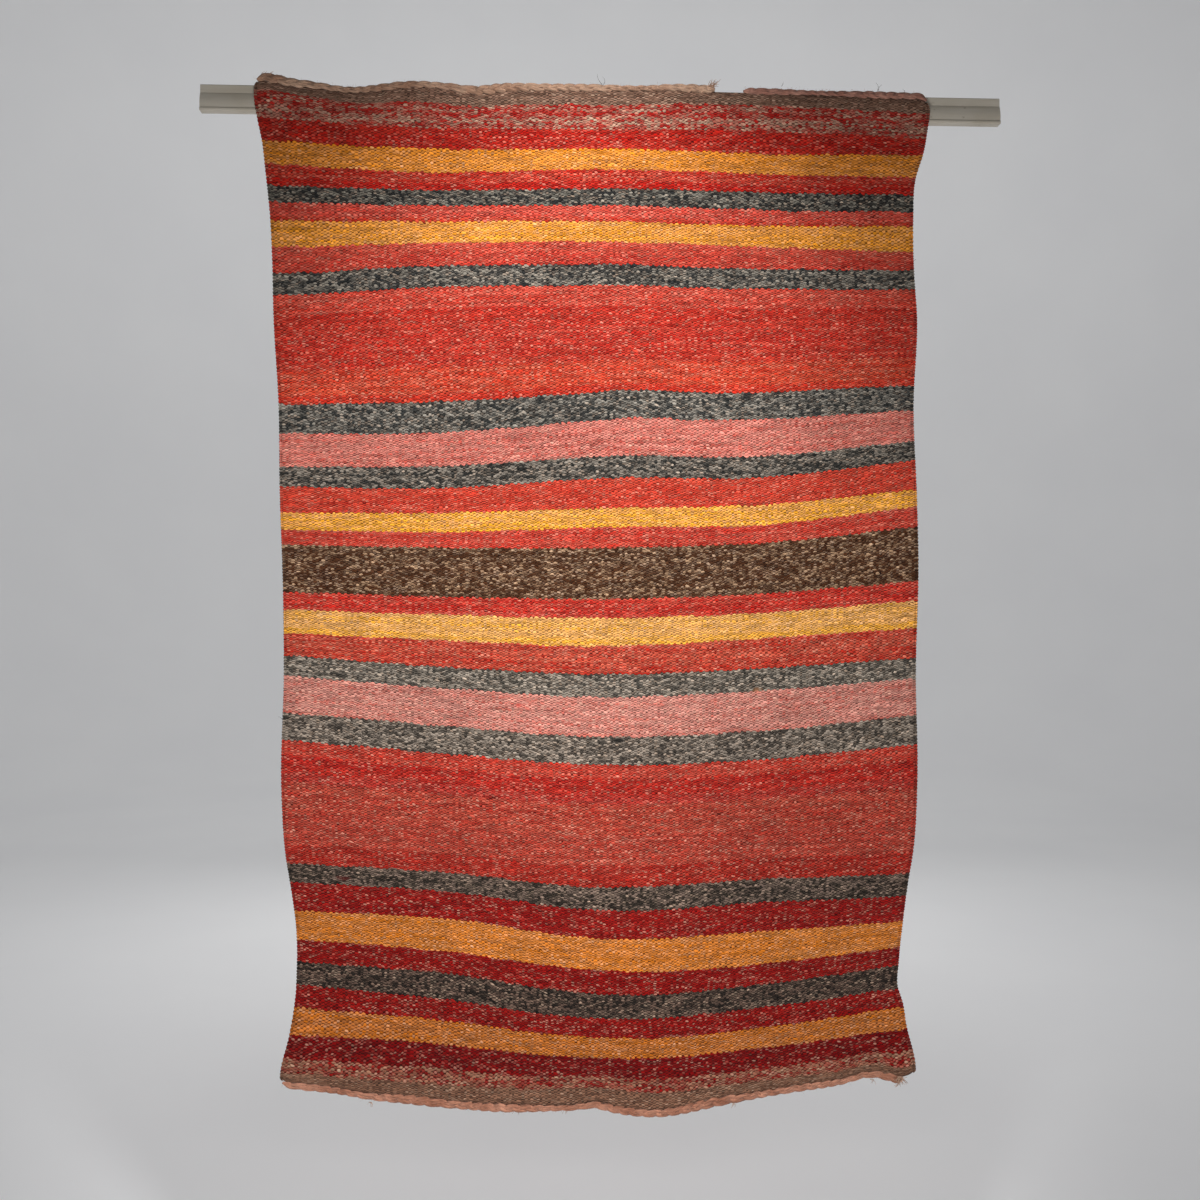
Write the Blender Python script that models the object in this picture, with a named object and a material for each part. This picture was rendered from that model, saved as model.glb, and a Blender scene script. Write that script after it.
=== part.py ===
# A banded wool blanket that hangs flat in front of a moulded wall rail.
# Metres, +Z up. The origin is the middle of the rail's back, which lies on the wall plane y = 0.
# The cloth faces -Y, and its picks run along X.
from collections import namedtuple

import bmesh
import bpy
import numpy as np

# Wall rail
RAIL_LENGTH = 1.50
RAIL_HEIGHT = 0.050
RAIL_DEPTH = 0.020

# Cloth
CLOTH_WIDTH = 1.24
CLOTH_THICKNESS = 0.003
PIECE_GAP = 0.0003
FREE_GAP = 0.013
DRIFT_START = 0.004
DRIFT_LENGTH = 0.70
WAVE_REACH = 0.075
EDGE_STEPS = (0.0, 0.007, 0.016, 0.030)
COLUMN_STEP = 0.027
ROW_STEP = 0.046

# Braids along the two ends
BRAID_GAP = 0.0004
BRAID_HALF_DEPTH = 0.0026
BRAID_STEP = 0.0068
LOBE_RISE = (0.0, 1.0, 0.85)
LOBE_HEIGHT_SHARE = 0.22
LOBE_DEPTH_SHARE = 0.20
BRAID_END_SHARE = 0.55
BRAID_END_LENGTH = 0.012
KNOT_INSET = 0.008
KNOT_SPREAD = 0.007

# Colours and roughness
RAIL_COLOUR = (0.55, 0.51, 0.44)
RAIL_ROUGHNESS = 0.55
WOOL_COLOUR = (0.50, 0.05, 0.03)
WOOL_ROUGHNESS = 0.95

# Plait's section, as shares of its height out from the cloth and of its half depth
SectionPoint = namedtuple("SectionPoint", "reach depth")
BRAID_SECTION = (
    SectionPoint(0.00, 0.50),
    SectionPoint(0.00, -0.50),
    SectionPoint(0.36, -1.00),
    SectionPoint(0.76, -0.90),
    SectionPoint(1.00, 0.00),
    SectionPoint(0.76, 0.90),
    SectionPoint(0.36, 1.00),
)

# Rail's moulded section, from the back's top round to its foot
ProfilePoint = namedtuple("ProfilePoint", "depth height")
RAIL_PROFILE = (
    ProfilePoint(0.0000, 0.0250),
    ProfilePoint(0.0112, 0.0250),
    ProfilePoint(0.0125, 0.0236),
    ProfilePoint(0.0125, 0.0095),
    ProfilePoint(0.0138, 0.0078),
    ProfilePoint(0.0165, 0.0005),
    ProfilePoint(0.0181, -0.0060),
    ProfilePoint(0.0184, -0.0120),
    ProfilePoint(0.0174, -0.0182),
    ProfilePoint(0.0188, -0.0194),
    ProfilePoint(0.0200, -0.0206),
    ProfilePoint(0.0200, -0.0234),
    ProfilePoint(0.0186, -0.0250),
    ProfilePoint(0.0000, -0.0250),
)

# The two selvages at each height
Selvage = namedtuple("Selvage", "height left right")
SELVAGES = (
    Selvage(0.045, -0.642, 0.613),
    Selvage(0.000, -0.647, 0.611),
    Selvage(-0.040, -0.641, 0.606),
    Selvage(-0.085, -0.632, 0.598),
    Selvage(-0.130, -0.627, 0.584),
    Selvage(-0.210, -0.619, 0.579),
    Selvage(-0.300, -0.615, 0.580),
    Selvage(-0.400, -0.613, 0.587),
    Selvage(-0.560, -0.604, 0.582),
    Selvage(-0.740, -0.602, 0.589),
    Selvage(-0.860, -0.598, 0.592),
    Selvage(-1.060, -0.596, 0.587),
    Selvage(-1.280, -0.601, 0.591),
    Selvage(-1.400, -0.594, 0.584),
    Selvage(-1.470, -0.583, 0.573),
    Selvage(-1.540, -0.574, 0.564),
    Selvage(-1.620, -0.573, 0.556),
    Selvage(-1.662, -0.575, 0.554),
    Selvage(-1.695, -0.579, 0.564),
    Selvage(-1.740, -0.587, 0.571),
    Selvage(-1.800, -0.602, 0.586),
    Selvage(-1.880, -0.603, 0.588),
)

# Heights of chosen picks at five stations across the cloth, as they were beaten in
STATIONS = (0.0, 0.25, 0.5, 0.75, 1.0)
Pick = namedtuple("Pick", "place left quarter middle three_quarter right")
PICKS = (
    Pick("top end", 0.022, 0.021, 0.023, 0.023, 0.019),
    Pick("first gold band", -0.080, -0.091, -0.086, -0.089, -0.088),
    Pick("second gold band", -0.223, -0.223, -0.218, -0.222, -0.220),
    Pick("upper wide red", -0.361, -0.343, -0.337, -0.340, -0.339),
    Pick("grey above pink", -0.564, -0.556, -0.537, -0.535, -0.519),
    Pick("red below grey", -0.719, -0.721, -0.702, -0.699, -0.665),
    Pick("brown band", -0.822, -0.827, -0.826, -0.817, -0.786),
    Pick("red below brown", -0.908, -0.917, -0.921, -0.911, -0.887),
    Pick("lower wide red", -1.182, -1.209, -1.232, -1.224, -1.196),
    Pick("grey below wide red", -1.414, -1.433, -1.464, -1.452, -1.444),
    Pick("lowest grey", -1.598, -1.625, -1.665, -1.656, -1.621),
    Pick("mottled band", -1.780, -1.807, -1.824, -1.817, -1.783),
    Pick("bottom end", -1.822, -1.867, -1.877, -1.863, -1.826),
)

# Waves of the two ends in the cloth's own plane, which fade within WAVE_REACH
EdgeWave = namedtuple("EdgeWave", "centre half_width rise")
TOP_WAVES = (
    EdgeWave(-0.625, 0.032, 0.009),
    EdgeWave(-0.470, 0.062, -0.010),
    EdgeWave(-0.350, 0.045, 0.003),
    EdgeWave(-0.240, 0.042, -0.007),
    EdgeWave(0.130, 0.050, 0.003),
)
HEM_WAVES = (
    EdgeWave(-0.440, 0.050, -0.004),
    EdgeWave(-0.020, 0.028, 0.006),
    EdgeWave(0.100, 0.080, -0.013),
    EdgeWave(0.400, 0.100, 0.005),
    EdgeWave(0.500, 0.040, 0.007),
    EdgeWave(0.560, 0.024, -0.006),
)

# Soft folds that stand forward at the hem and fade upwards
Fold = namedtuple("Fold", "centre half_width reach forward")
FOLDS = (
    Fold(-0.580, 0.055, 0.30, 0.006),
    Fold(-0.380, 0.085, 0.50, -0.004),
    Fold(-0.160, 0.110, 0.80, 0.006),
    Fold(0.100, 0.095, 0.45, 0.010),
    Fold(0.320, 0.085, 0.70, -0.004),
    Fold(0.500, 0.045, 0.25, -0.006),
    Fold(0.575, 0.040, 0.30, 0.007),
)

# Radii of the cloth's four corners
Corner = namedtuple("Corner", "radius across down")
CORNERS = (
    Corner(0.014, 0.0, 0.0),
    Corner(0.024, 1.0, 0.0),
    Corner(0.016, 0.0, 1.0),
    Corner(0.016, 1.0, 1.0),
)

# Braids: the end they edge, from where to where, their height, and their end's swelling
Braid = namedtuple("Braid", "name down start end height knot colour")
BRAIDS = (
    Braid("top_braid_left", 0.0, -0.640, 0.209, 0.0125, 0.30, (0.52, 0.33, 0.22)),
    Braid("top_braid_right", 0.0, 0.255, 0.608, 0.0110, 0.00, (0.47, 0.27, 0.20)),
    Braid("bottom_braid", 1.0, -0.596, 0.574, 0.0130, 0.35, (0.54, 0.28, 0.19)),
)


def clear_scene():
    for item in list(bpy.data.objects):
        bpy.data.objects.remove(item, do_unlink=True)


def principled(name, colour, roughness):
    material = bpy.data.materials.new(name)
    material.use_nodes = True
    shader = material.node_tree.nodes["Principled BSDF"]
    shader.inputs["Base Color"].default_value = (*colour, 1.0)
    shader.inputs["Roughness"].default_value = roughness
    shader.inputs["Metallic"].default_value = 0.0
    return material


def add_piece(name, points, faces, material):
    mesh = bpy.data.meshes.new(name)
    mesh.from_pydata([tuple(point) for point in points], [], faces)
    shape = bmesh.new()
    shape.from_mesh(mesh)
    bmesh.ops.recalc_face_normals(shape, faces=shape.faces)
    shape.to_mesh(mesh)
    shape.free()
    mesh.materials.append(material)
    piece = bpy.data.objects.new(name, mesh)
    bpy.context.scene.collection.objects.link(piece)
    return piece


# A cubic through the knots, whose slopes come from the neighbouring knots
def read_curve(knots, values, at):
    slopes = np.gradient(values, knots, axis=0)
    last = len(knots) - 2
    left = np.clip(np.searchsorted(knots, at) - 1, 0, last)
    span = knots[left + 1] - knots[left]
    t = (at - knots[left]) / span
    before = (1 + 2 * t) * (1 - t) ** 2 * values[left] + t * (1 - t) ** 2 * span * slopes[left]
    after = t * t * (3 - 2 * t) * values[left + 1] - t * t * (1 - t) * span * slopes[left + 1]
    return before + after


def smooth_step(value):
    value = np.clip(value, 0.0, 1.0)
    return value * value * (3.0 - 2.0 * value)


def selvage_at(height):
    heights = np.array([row.height for row in reversed(SELVAGES)])
    left = np.array([row.left for row in reversed(SELVAGES)])
    right = np.array([row.right for row in reversed(SELVAGES)])
    return read_curve(heights, left, height), read_curve(heights, right, height)


def pick_heights():
    return np.array([row[1:] for row in PICKS])


# Woven length from the top end, measured down the middle of the cloth
def cloth_length():
    middle = [row.middle for row in PICKS]
    return middle[0] - middle[-1]


# Height of the point at a share across the cloth and a woven length down it
def weave_height(across, woven):
    heights = pick_heights()
    middle = heights[0, 2] - heights[:, 2]
    at_stations = np.array([read_curve(middle, column, woven) for column in heights.T])
    stations = np.array(STATIONS)
    return read_curve(stations, at_stations, across)


def wave_rise(waves, x, distance):
    fade = smooth_step(1.0 - distance / WAVE_REACH)
    rise = sum(wave.rise * np.exp(-(((x - wave.centre) / wave.half_width) ** 2)) for wave in waves)
    return rise * fade


def fold_depth(x, height):
    hem = PICKS[-1].middle
    depth = 0.0
    for fold in FOLDS:
        fade = smooth_step(1.0 - (height - hem) / fold.reach)
        depth += fold.forward * fade * np.exp(-(((x - fold.centre) / fold.half_width) ** 2))
    return depth


# The cloth's back hangs on the rail's nose and drifts towards the wall below it
def back_depth(x, height):
    below_rail = -RAIL_HEIGHT / 2 - DRIFT_START - height
    drift = smooth_step(below_rail / DRIFT_LENGTH)
    held = RAIL_DEPTH + PIECE_GAP
    return held - (held - FREE_GAP) * drift + fold_depth(x, height)


# Turns a square corner into a round one, and leaves the rest of the sheet alone
def round_corner(across, woven, corner):
    length = cloth_length()
    a = 1.0 - abs(across - corner.across) * CLOTH_WIDTH / corner.radius
    b = 1.0 - abs(woven - corner.down * length) / corner.radius
    if a <= 0.0 or b <= 0.0:
        return across, woven
    new_a = a * np.sqrt(1.0 - b * b / 2.0)
    new_b = b * np.sqrt(1.0 - a * a / 2.0)
    side = 1.0 if corner.across == 0.0 else -1.0
    end = 1.0 if corner.down == 0.0 else -1.0
    across = corner.across + side * (1.0 - new_a) * corner.radius / CLOTH_WIDTH
    woven = corner.down * length + end * (1.0 - new_b) * corner.radius
    return across, woven


# One point of the cloth as (x, back depth, height)
def cloth_point(across, woven):
    for corner in CORNERS:
        across, woven = round_corner(across, woven, corner)
    length = cloth_length()
    left = selvage_at(weave_height(0.0, woven))[0]
    right = selvage_at(weave_height(1.0, woven))[1]
    x = (1.0 - across) * left + across * right
    height = weave_height(across, woven)
    height += wave_rise(TOP_WAVES, x, woven)
    height += wave_rise(HEM_WAVES, x, length - woven)
    return x, back_depth(x, height), height


# Grid lines that crowd towards both edges, where the corners are round
def grid_lines(length, step):
    inner = EDGE_STEPS[-1]
    count = int(round((length - 2 * inner) / step))
    middle = np.linspace(inner, length - inner, count + 1)
    return np.concatenate((EDGE_STEPS[:-1], middle, length - np.array(EDGE_STEPS[:-1])[::-1]))


def cloth_shares():
    return grid_lines(CLOTH_WIDTH, COLUMN_STEP) / CLOTH_WIDTH


def build_blanket(material):
    shares = cloth_shares()
    rows = grid_lines(cloth_length(), ROW_STEP)
    points = []
    for thickness in (CLOTH_THICKNESS, 0.0):
        for woven in rows:
            for share in shares:
                x, depth, height = cloth_point(share, woven)
                points.append((x, -depth - thickness, height))
    columns = len(shares)
    sheet = columns * len(rows)

    def front(row, column):
        return row * columns + column

    def back(row, column):
        return sheet + front(row, column)

    faces = []
    for row in range(len(rows) - 1):
        for column in range(columns - 1):
            corners = ((row, column), (row + 1, column), (row + 1, column + 1), (row, column + 1))
            faces.append([front(*corner) for corner in corners])
            faces.append([back(*corner) for corner in reversed(corners)])
    rim = [(0, column) for column in range(columns)]
    rim += [(row, columns - 1) for row in range(1, len(rows))]
    rim += [(len(rows) - 1, column) for column in range(columns - 2, -1, -1)]
    rim += [(row, 0) for row in range(len(rows) - 2, 0, -1)]
    for here, following in zip(rim, rim[1:] + rim[:1]):
        faces.append([front(*here), front(*following), back(*following), back(*here)])
    return add_piece("blanket", points, faces, material)


# Points along one end of the cloth, with every corner of its edge kept
def braid_route(braid):
    woven = braid.down * cloth_length()
    edge = [np.array(cloth_point(share, woven)) for share in cloth_shares()]
    route = []
    for here, following in zip(edge[:-1], edge[1:]):
        steps = max(1, int(round(np.linalg.norm(following - here) / BRAID_STEP)))
        for step in range(steps):
            route.append(here + (following - here) * step / steps)
    route.append(edge[-1])
    return [point for point in route if braid.start <= point[0] <= braid.end]


def outward_normals(route, down):
    sign = 1.0 if down == 0.0 else -1.0
    normals = []
    for index in range(len(route)):
        before = route[max(index - 1, 0)]
        after = route[min(index + 1, len(route) - 1)]
        run = np.array((after[0] - before[0], after[2] - before[2]))
        run /= np.linalg.norm(run)
        normals.append(sign * np.array((-run[1], run[0])))
    return normals


# How far one station of a braid is drawn in at its lobes and ends, or swollen at its knot
def braid_share(to_start, to_end, knot):
    near_end = smooth_step(min(to_start, to_end) / BRAID_END_LENGTH)
    taper = BRAID_END_SHARE + (1.0 - BRAID_END_SHARE) * near_end
    return taper * (1.0 + knot * np.exp(-(((to_end - KNOT_INSET) / KNOT_SPREAD) ** 2)))


def build_braid(braid, material):
    route = braid_route(braid)
    normals = outward_normals(route, braid.down)
    rings = []
    for index, (point, normal) in enumerate(zip(route, normals)):
        valley = 1.0 - LOBE_RISE[index % len(LOBE_RISE)]
        to_start = np.linalg.norm(point - route[0])
        to_end = np.linalg.norm(point - route[-1])
        share = braid_share(to_start, to_end, braid.knot)
        height = braid.height * (1.0 - LOBE_HEIGHT_SHARE * valley) * share
        depth = BRAID_HALF_DEPTH * (1.0 - LOBE_DEPTH_SHARE * valley) * share
        middle = -point[1] - CLOTH_THICKNESS / 2
        ring = []
        for corner in BRAID_SECTION:
            reach = BRAID_GAP + corner.reach * (height - BRAID_GAP)
            x = point[0] + normal[0] * reach
            z = point[2] + normal[1] * reach
            ring.append((x, middle + corner.depth * depth, z))
        rings.append(ring)
    sides = len(rings[0])
    points = [point for ring in rings for point in ring]
    faces = [list(range(sides)), list(range(len(points) - sides, len(points)))]
    for index in range(len(rings) - 1):
        start = index * sides
        for side in range(sides):
            following = (side + 1) % sides
            faces.append(
                [start + side, start + following, start + sides + following, start + sides + side]
            )
    return add_piece(braid.name, points, faces, material)


def build_rail(material):
    points = []
    for x in (-RAIL_LENGTH / 2, RAIL_LENGTH / 2):
        points += [(x, -point.depth, point.height) for point in RAIL_PROFILE]
    count = len(RAIL_PROFILE)
    faces = [list(range(count)), list(range(count, 2 * count))]
    for index in range(count):
        following = (index + 1) % count
        faces.append([index, following, count + following, count + index])
    return add_piece("wall_rail", points, faces, material)


def main():
    clear_scene()
    build_rail(principled("painted_rail", RAIL_COLOUR, RAIL_ROUGHNESS))
    build_blanket(principled("banded_wool", WOOL_COLOUR, WOOL_ROUGHNESS))
    for braid in BRAIDS:
        build_braid(braid, principled(braid.name, braid.colour, WOOL_ROUGHNESS))


main()
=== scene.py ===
import math

import bpy
import numpy as np
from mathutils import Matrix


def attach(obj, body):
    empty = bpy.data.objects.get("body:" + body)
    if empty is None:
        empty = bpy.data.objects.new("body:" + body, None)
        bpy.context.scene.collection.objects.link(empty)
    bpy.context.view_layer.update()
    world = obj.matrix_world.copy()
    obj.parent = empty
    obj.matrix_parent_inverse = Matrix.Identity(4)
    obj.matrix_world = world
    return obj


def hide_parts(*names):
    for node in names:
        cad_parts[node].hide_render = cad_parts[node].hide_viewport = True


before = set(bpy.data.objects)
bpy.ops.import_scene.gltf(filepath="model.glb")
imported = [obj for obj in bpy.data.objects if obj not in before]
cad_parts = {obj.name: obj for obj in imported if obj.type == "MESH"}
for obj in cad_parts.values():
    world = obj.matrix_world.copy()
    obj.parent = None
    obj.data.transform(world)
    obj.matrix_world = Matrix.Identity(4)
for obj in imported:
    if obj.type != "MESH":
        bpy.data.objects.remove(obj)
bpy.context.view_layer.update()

print("frame loaded")

# Metres everywhere. The cloth faces -Y and its picks run along X.
# "across" is a share of the cloth's width from the left selvage,
# "woven" is the length down the middle of the cloth from its top end.

cloth = {
    "width": 1.20,  # in the reed
    "thickness": 0.0030,
    "rimThickness": 0.0016,
    "rimWidth": 0.006,
    "railGap": 0.0003,
    "railDepth": 0.020,
    "railFoot": -0.025,
    "freeGap": 0.013,  # clearance behind the hanging part
    "driftStart": 0.004,
    "driftLength": 0.70,
    "waveReach": 0.075,
    "cornerWidth": 1.24,  # of the cloth near its ends
    "puckerStart": 0.25,  # over which the puckers grow below the rail
    "columns": 232,
    "rows": 190,
}

stations = np.array((0.0, 0.25, 0.5, 0.75, 1.0))

# height in mm at the five stations where each band begins, as it was beaten in
beatenPicks = [
    ("top heading", 22, 21, 23, 23, 19),
    ("top mottled", 8, -8, -6, -1, -12),
    ("deep red", -39, -53, -51, -48, -58),
    ("gold", -80, -91, -86, -89, -88),
    ("red", -118, -130, -120, -122, -126),
    ("grey", -159, -164, -157, -157, -160),
    ("coral", -188, -191, -187, -189, -192),
    ("gold", -223, -223, -218, -222, -220),
    ("coral", -271, -262, -256, -262, -269),
    ("grey", -320, -304, -299, -303, -303),
    ("wide red", -361, -343, -337, -340, -339),
    ("grey", -564, -556, -537, -535, -519),
    ("pink", -614, -610, -586, -582, -563),
    ("grey", -676, -673, -654, -652, -622),
    ("red", -719, -721, -702, -699, -665),
    ("gold", -760, -759, -749, -742, -713),
    ("red", -796, -800, -790, -785, -750),
    ("brown", -822, -827, -826, -817, -786),
    ("red", -908, -917, -921, -911, -887),
    ("sand", -942, -952, -958, -949, -925),
    ("red", -987, -1001, -1012, -998, -978),
    ("grey", -1025, -1047, -1061, -1051, -1031),
    ("pink", -1070, -1094, -1112, -1101, -1078),
    ("grey", -1133, -1159, -1181, -1171, -1142),
    ("wide red", -1182, -1209, -1232, -1224, -1196),
    ("grey", -1414, -1433, -1464, -1452, -1444),
    ("crimson", -1454, -1474, -1513, -1503, -1493),
    ("gold", -1505, -1524, -1564, -1556, -1539),
    ("crimson", -1553, -1580, -1618, -1613, -1584),
    ("grey", -1598, -1625, -1665, -1656, -1621),
    ("crimson", -1640, -1675, -1711, -1700, -1666),
    ("gold", -1683, -1715, -1748, -1739, -1701),
    ("darkest red", -1732, -1758, -1785, -1775, -1742),
    ("bottom mottled", -1780, -1807, -1824, -1817, -1783),
    ("bottom heading", -1806, -1838, -1846, -1842, -1811),
    ("bottom end", -1822, -1867, -1877, -1863, -1826),
]

# height, left selvage and right selvage, in mm
selvages = [
    (45, -642, 613),
    (0, -647, 611),
    (-40, -641, 606),
    (-85, -632, 598),
    (-130, -627, 584),
    (-210, -619, 579),
    (-300, -615, 580),
    (-400, -613, 587),
    (-560, -604, 582),
    (-740, -602, 589),
    (-860, -598, 592),
    (-1060, -596, 587),
    (-1280, -601, 591),
    (-1400, -594, 584),
    (-1470, -583, 573),
    (-1540, -574, 564),
    (-1620, -573, 556),
    (-1662, -575, 554),
    (-1695, -579, 564),
    (-1740, -587, 571),
    (-1800, -602, 586),
    (-1880, -603, 588),
]

# centre, half width and rise of each wave in an end of the cloth
topWaves = [
    (-0.625, 0.032, 0.009),
    (-0.470, 0.062, -0.010),
    (-0.350, 0.045, 0.003),
    (-0.240, 0.042, -0.007),
    (0.130, 0.050, 0.003),
]
hemWaves = [
    (-0.440, 0.050, -0.004),
    (-0.020, 0.028, 0.006),
    (0.100, 0.080, -0.013),
    (0.400, 0.100, 0.005),
    (0.500, 0.040, 0.007),
    (0.560, 0.024, -0.006),
]

# centre, half width, reach up from the hem and forward depth of each soft fold
folds = [
    (-0.580, 0.055, 0.30, 0.006),
    (-0.380, 0.085, 0.50, -0.004),
    (-0.160, 0.110, 0.80, 0.006),
    (0.100, 0.095, 0.45, 0.010),
    (0.320, 0.085, 0.70, -0.004),
    (0.500, 0.045, 0.25, -0.006),
    (0.575, 0.040, 0.30, 0.007),
]

# radius, side and end of each rounded corner
corners = [(0.014, 0.0, 0.0), (0.024, 1.0, 0.0), (0.016, 0.0, 1.0), (0.016, 1.0, 1.0)]

# puckers of the free cloth: turns a metre across and down, depth and phase
puckers = [
    (0.9, 0.5, 0.0016, 0.4),
    (-1.3, 1.1, 0.0011, 1.9),
    (2.1, -1.7, 0.0007, 3.1),
    (0.4, 2.6, 0.0006, 5.2),
    (3.9, 3.1, 0.0003, 0.9),
]

# wander of the picks in the cloth's own plane: x, height, half width, half height and rise
pickWander = [
    (0.060, -0.570, 0.080, 0.110, 0.005),
    (-0.520, -0.300, 0.060, 0.080, -0.003),
    (0.330, -0.140, 0.120, 0.080, -0.003),
    (0.020, -0.330, 0.090, 0.060, 0.002),
]


def smoothStep(value):
    value = np.clip(value, 0.0, 1.0)
    return value * value * (3.0 - 2.0 * value)


# cubic through the knots, with slopes from the neighbouring knots
def readCurve(knots, values, at):
    slopes = np.gradient(values, knots, axis=0)
    left = np.clip(np.searchsorted(knots, at) - 1, 0, len(knots) - 2)
    span = knots[left + 1] - knots[left]
    t = (at - knots[left]) / span
    if values.ndim > 1:
        t, span = t[:, None], span[:, None]
    before = (1 + 2 * t) * (1 - t) ** 2 * values[left] + t * (1 - t) ** 2 * span * slopes[left]
    after = t * t * (3 - 2 * t) * values[left + 1] - t * t * (1 - t) * span * slopes[left + 1]
    return before + after


# the same cubic across the five stations, for one row of heights a point
def readAcross(heights, across):
    slopes = np.gradient(heights, stations, axis=1)
    left = np.clip(np.searchsorted(stations, across) - 1, 0, len(stations) - 2)
    span = stations[left + 1] - stations[left]
    t = (across - stations[left]) / span
    row = np.arange(len(across))
    h0, h1 = heights[row, left], heights[row, left + 1]
    m0, m1 = slopes[row, left] * span, slopes[row, left + 1] * span
    before = (1 + 2 * t) * (1 - t) ** 2 * h0 + t * (1 - t) ** 2 * m0
    return before + t * t * (3 - 2 * t) * h1 - t * t * (1 - t) * m1


pickHeights = np.array([row[1:] for row in beatenPicks]) / 1000
pickWoven = pickHeights[0, 2] - pickHeights[:, 2]
clothLength = float(pickWoven[-1])
selvageRows = np.array(sorted(selvages)) / 1000


def bumps(rows, x):
    return sum(rise * np.exp(-(((x - centre) / half) ** 2)) for centre, half, rise in rows)


def roundCorners(across, woven):
    for radius, side, end in corners:
        a = 1.0 - np.abs(across - side) * cloth["cornerWidth"] / radius
        b = 1.0 - np.abs(woven - end * clothLength) / radius
        near = (a > 0.0) & (b > 0.0)
        newA = a * np.sqrt(np.maximum(1.0 - b * b / 2, 0.0))
        newB = b * np.sqrt(np.maximum(1.0 - a * a / 2, 0.0))
        inward = 1.0 - 2.0 * side
        down = 1.0 - 2.0 * end
        moved = side + inward * (1.0 - newA) * radius / cloth["cornerWidth"]
        across = np.where(near, moved, across)
        woven = np.where(near, end * clothLength + down * (1.0 - newB) * radius, woven)
    return across, woven


# x, back depth and height of points of the cloth
def clothPoints(across, woven):
    across, woven = roundCorners(np.asarray(across, float), np.asarray(woven, float))
    rows = readCurve(pickWoven, pickHeights, woven)
    left = readCurve(selvageRows[:, 0], selvageRows[:, 1], rows[:, 0])
    right = readCurve(selvageRows[:, 0], selvageRows[:, 2], rows[:, -1])
    x = left + (right - left) * across
    z = readAcross(rows, across)
    for centre, height, halfWidth, halfHeight, rise in pickWander:
        z += rise * np.exp(-(((x - centre) / halfWidth) ** 2) - ((z - height) / halfHeight) ** 2)
    z += bumps(topWaves, x) * smoothStep(1.0 - woven / cloth["waveReach"])
    z += bumps(hemWaves, x) * smoothStep(1.0 - (clothLength - woven) / cloth["waveReach"])
    below = cloth["railFoot"] - cloth["driftStart"] - z
    held = cloth["railDepth"] + cloth["railGap"]
    depth = held - (held - cloth["freeGap"]) * smoothStep(below / cloth["driftLength"])
    for centre, half, reach, forward in folds:
        fade = smoothStep(1.0 - (z - pickHeights[-1, 2]) / reach)
        depth += forward * fade * np.exp(-(((x - centre) / half) ** 2))
    free = smoothStep(below / cloth["puckerStart"])
    for turnsX, turnsZ, deep, phase in puckers:
        depth += free * deep * np.sin(2 * math.pi * (turnsX * x + turnsZ * z) + phase)
    return x, -depth, z


def addMesh(name, points, faces, faceUvs, material):
    mesh = bpy.data.meshes.new(name)
    mesh.from_pydata([tuple(p) for p in points], [], faces)
    layer = mesh.uv_layers.new(name="weave")
    layer.data.foreach_set("uv", np.asarray(faceUvs, dtype=np.float32).ravel())
    mesh.shade_smooth()
    mesh.materials.append(material)
    mesh.validate()
    piece = bpy.data.objects.new(name, mesh)
    bpy.context.scene.collection.objects.link(piece)
    return piece


# Node helpers: a value given as a socket is linked, any other is set


def feed(tree, socket, value):
    if isinstance(value, bpy.types.NodeSocket):
        tree.links.new(value, socket)
    else:
        socket.default_value = value


def calc(tree, operation, *values):
    node = tree.nodes.new("ShaderNodeMath")
    node.operation = operation
    for socket, value in zip(node.inputs, values):
        feed(tree, socket, value)
    return node.outputs[0]


def vectorCalc(tree, operation, *values, out=0):
    node = tree.nodes.new("ShaderNodeVectorMath")
    node.operation = operation
    for socket, value in zip(node.inputs, values):
        feed(tree, socket, value)
    return node.outputs[out]


def mixColour(tree, factor, first, second):
    node = tree.nodes.new("ShaderNodeMix")
    node.data_type = "RGBA"
    feed(tree, node.inputs[0], factor)
    feed(tree, node.inputs[6], first)
    feed(tree, node.inputs[7], second)
    return node.outputs[2]


def mixVector(tree, factor, first, second):
    node = tree.nodes.new("ShaderNodeMix")
    node.data_type = "VECTOR"
    feed(tree, node.inputs[0], factor)
    feed(tree, node.inputs[4], first)
    feed(tree, node.inputs[5], second)
    return node.outputs[1]


def shaded(tree, colour, shade):
    return vectorCalc(tree, "SCALE", colour, (0, 0, 0), (0, 0, 0), shade)


def separate(tree, vector):
    node = tree.nodes.new("ShaderNodeSeparateXYZ")
    feed(tree, node.inputs[0], vector)
    return node.outputs


def combine(tree, x, y):
    node = tree.nodes.new("ShaderNodeCombineXYZ")
    feed(tree, node.inputs[0], x)
    feed(tree, node.inputs[1], y)
    return node.outputs[0]


def weaveUv(tree):
    node = tree.nodes.new("ShaderNodeUVMap")
    node.uv_map = "weave"
    return node.outputs[0]


def objectPlace(tree):
    return tree.nodes.new("ShaderNodeTexCoord").outputs["Object"]


def noise(tree, vector, scale, detail, roughness=0.5):
    node = tree.nodes.new("ShaderNodeTexNoise")
    feed(tree, node.inputs["Vector"], vector)
    node.inputs["Scale"].default_value = scale
    node.inputs["Detail"].default_value = detail
    node.inputs["Roughness"].default_value = roughness
    return node.outputs["Fac"]


def stretchedNoise(tree, vector, stretch, detail, roughness=0.5):
    return noise(tree, vectorCalc(tree, "MULTIPLY", vector, stretch), 1.0, detail, roughness)


def whiteNoise(tree, vector):
    node = tree.nodes.new("ShaderNodeTexWhiteNoise")
    node.noise_dimensions = "2D"
    feed(tree, node.inputs["Vector"], vector)
    return node.outputs["Value"]


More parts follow.
